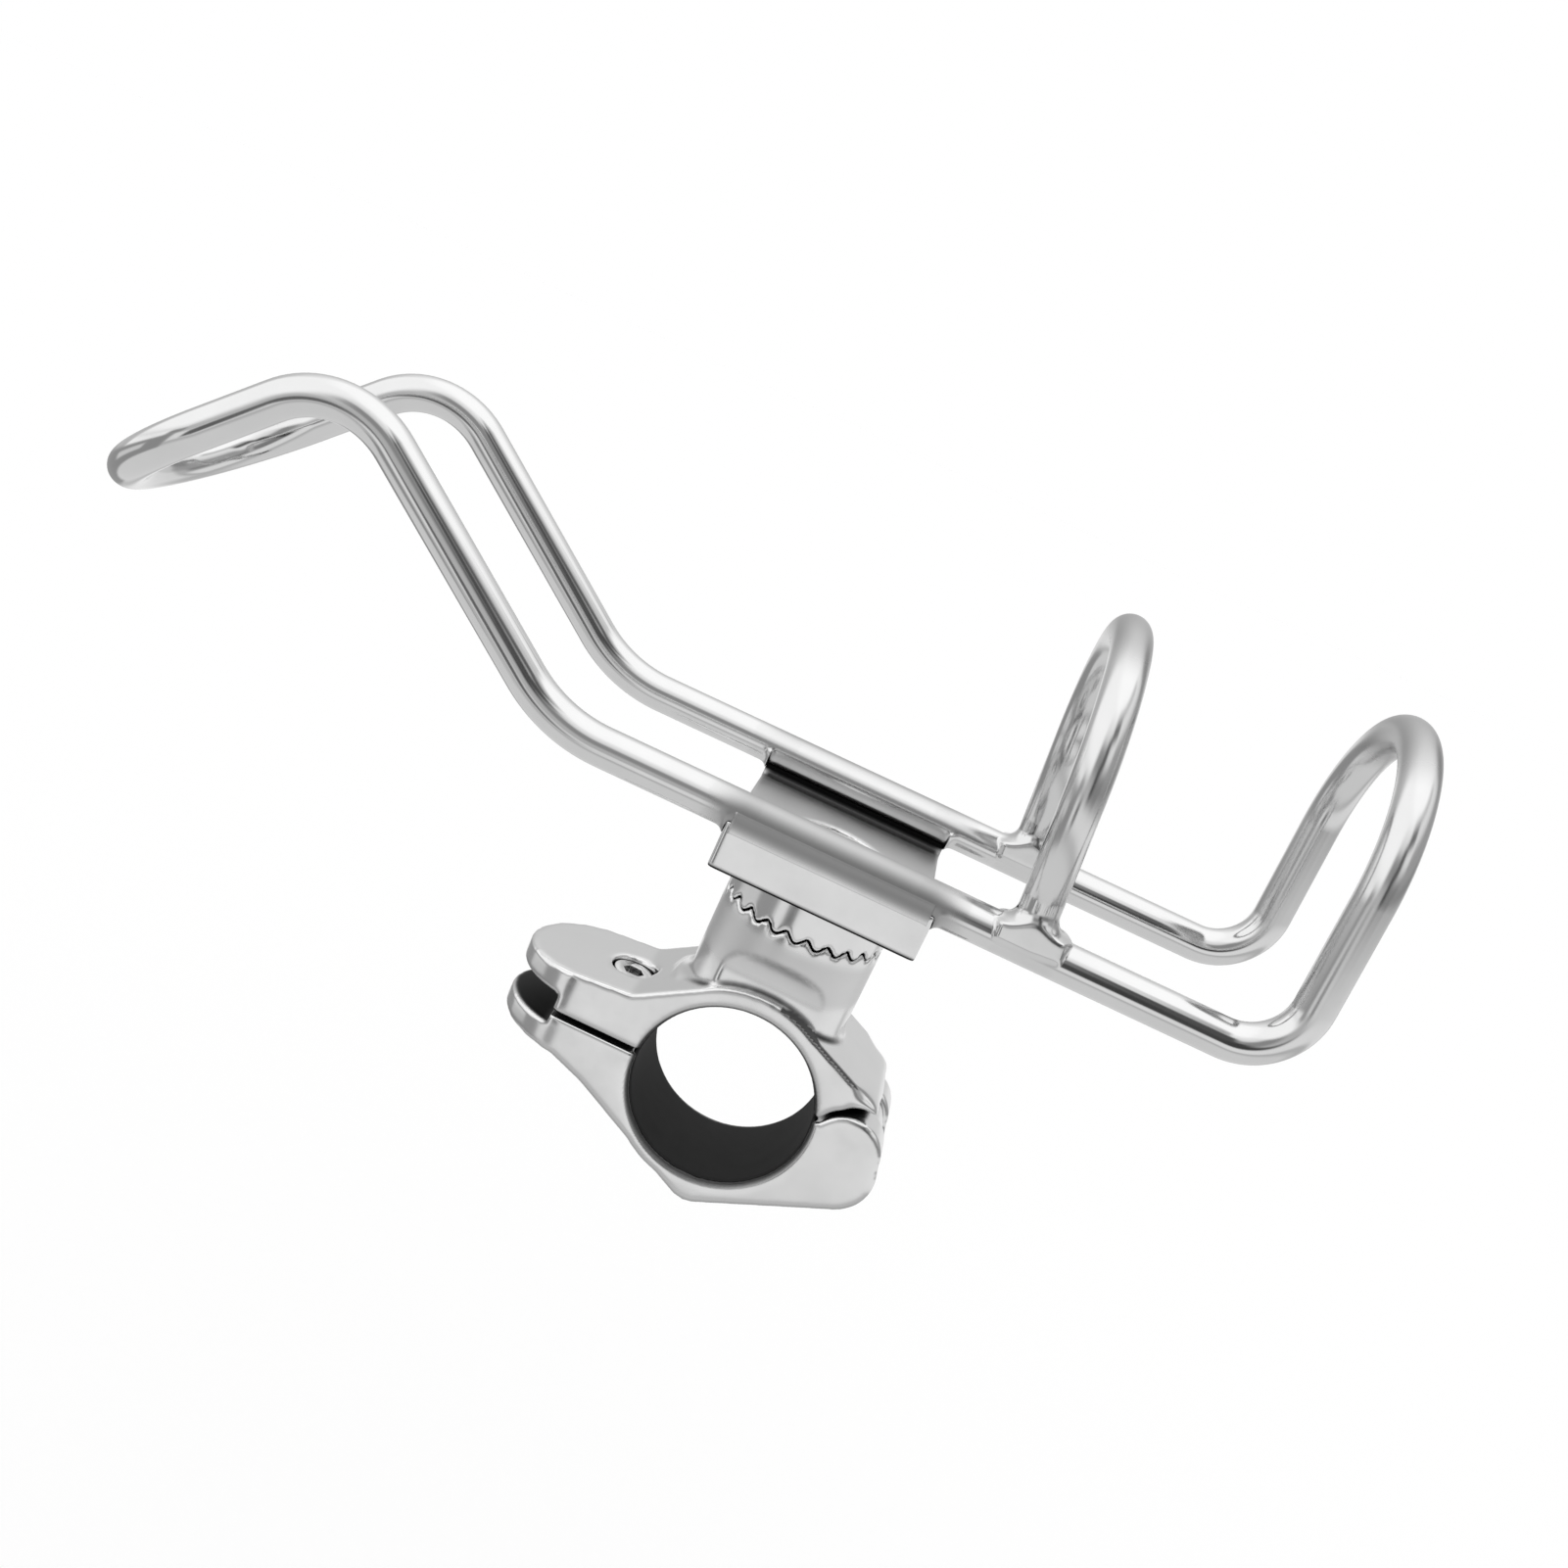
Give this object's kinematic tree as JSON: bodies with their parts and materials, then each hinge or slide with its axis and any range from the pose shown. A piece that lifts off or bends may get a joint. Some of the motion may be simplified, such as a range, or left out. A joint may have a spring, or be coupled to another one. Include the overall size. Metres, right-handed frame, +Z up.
{
  "type": "rail-mount fishing rod holder",
  "caption": "Bent-rod cradle with two upright hoops and a drooping front loop, on a toothed swivel above a hinged clamp for a round rail.",
  "frame": {"origin": "centre of the rail bore, midway along it", "axes": "+X along the cradle towards the rear hoop, +Y along the rail, +Z up the swivel axis"},
  "size_m": [0.2586, 0.0636, 0.1514],
  "materials": {
    "polished_bar": "mirror polished round bar",
    "polished_casting": "mirror polished investment casting",
    "polished_weld": "ground and polished weld",
    "bright_fastener": "machined and polished",
    "rubber_pad": "matt moulded rubber"
  },
  "bodies": {
    "upper_clamp": {"upper_jaw": "polished_casting", "upper_rail_pad": "rubber_pad"},
    "head": {"swivel_head": "polished_casting", "cradle_rod": "polished_bar", "middle_hoop": "polished_bar", "hoop_welds": "polished_weld", "saddle_welds": "polished_weld"},
    "bolt": {"centre_bolt": "bright_fastener", "bolt_washer": "bright_fastener"},
    "lower_clamp": {"lower_jaw": "polished_casting", "lower_rail_pad": "rubber_pad", "hinge_pin": "bright_fastener"},
    "screw": {"clamp_screw": "bright_fastener"}
  },
  "joints": [
    {"name": "head_swivel", "type": "hinge", "parent": "upper_clamp", "child": "head", "pos_m": [0, 0, 0.0565], "axis": [0, 0, 1], "continuous": true},
    {"name": "jaw_hinge", "type": "hinge", "parent": "upper_clamp", "child": "lower_clamp", "pos_m": [0.0272, 0, 0.0006], "axis": [0, -1, 0], "range_deg": [0, 73]},
    {"name": "centre_bolt_turn", "type": "hinge", "parent": "upper_clamp", "child": "bolt", "pos_m": [0, 0, 0.05], "axis": [0, 0, 1], "continuous": true},
    {"name": "clamp_screw_turn", "type": "hinge", "parent": "upper_clamp", "child": "screw", "pos_m": [-0.0276, 0, 0], "axis": [0, 0, 1], "continuous": true}
  ]
}
